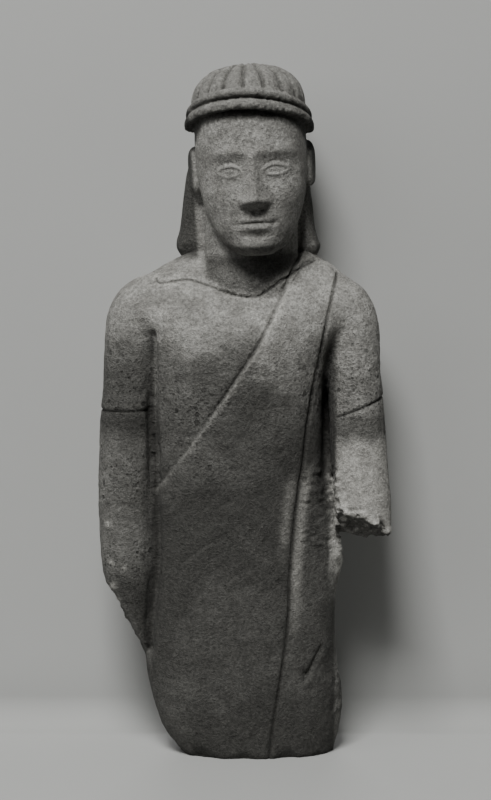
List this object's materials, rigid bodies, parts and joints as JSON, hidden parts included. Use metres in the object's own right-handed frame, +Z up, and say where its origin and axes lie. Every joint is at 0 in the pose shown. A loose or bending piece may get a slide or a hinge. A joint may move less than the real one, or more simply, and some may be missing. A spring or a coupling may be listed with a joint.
{
  "type": "limestone statuette",
  "caption": "Broken limestone votive figure standing frontally, in a wrapped robe, with a ribbed cap of hair and a rolled band; it rests on its flat broken underside.",
  "frame": {"origin": "on the floor plane under the middle of the whole figure's bounding box; the broken underside lies in that plane", "axes": "+Z up along the figure, -Y the way the figure faces, -X its own right side"},
  "size_m": [0.1906, 0.108, 0.4501],
  "materials": {
    "limestone": "dry matt carved stone"
  },
  "bodies": {
    "root": {"limestone_figure": "limestone"}
  },
  "joints": []
}
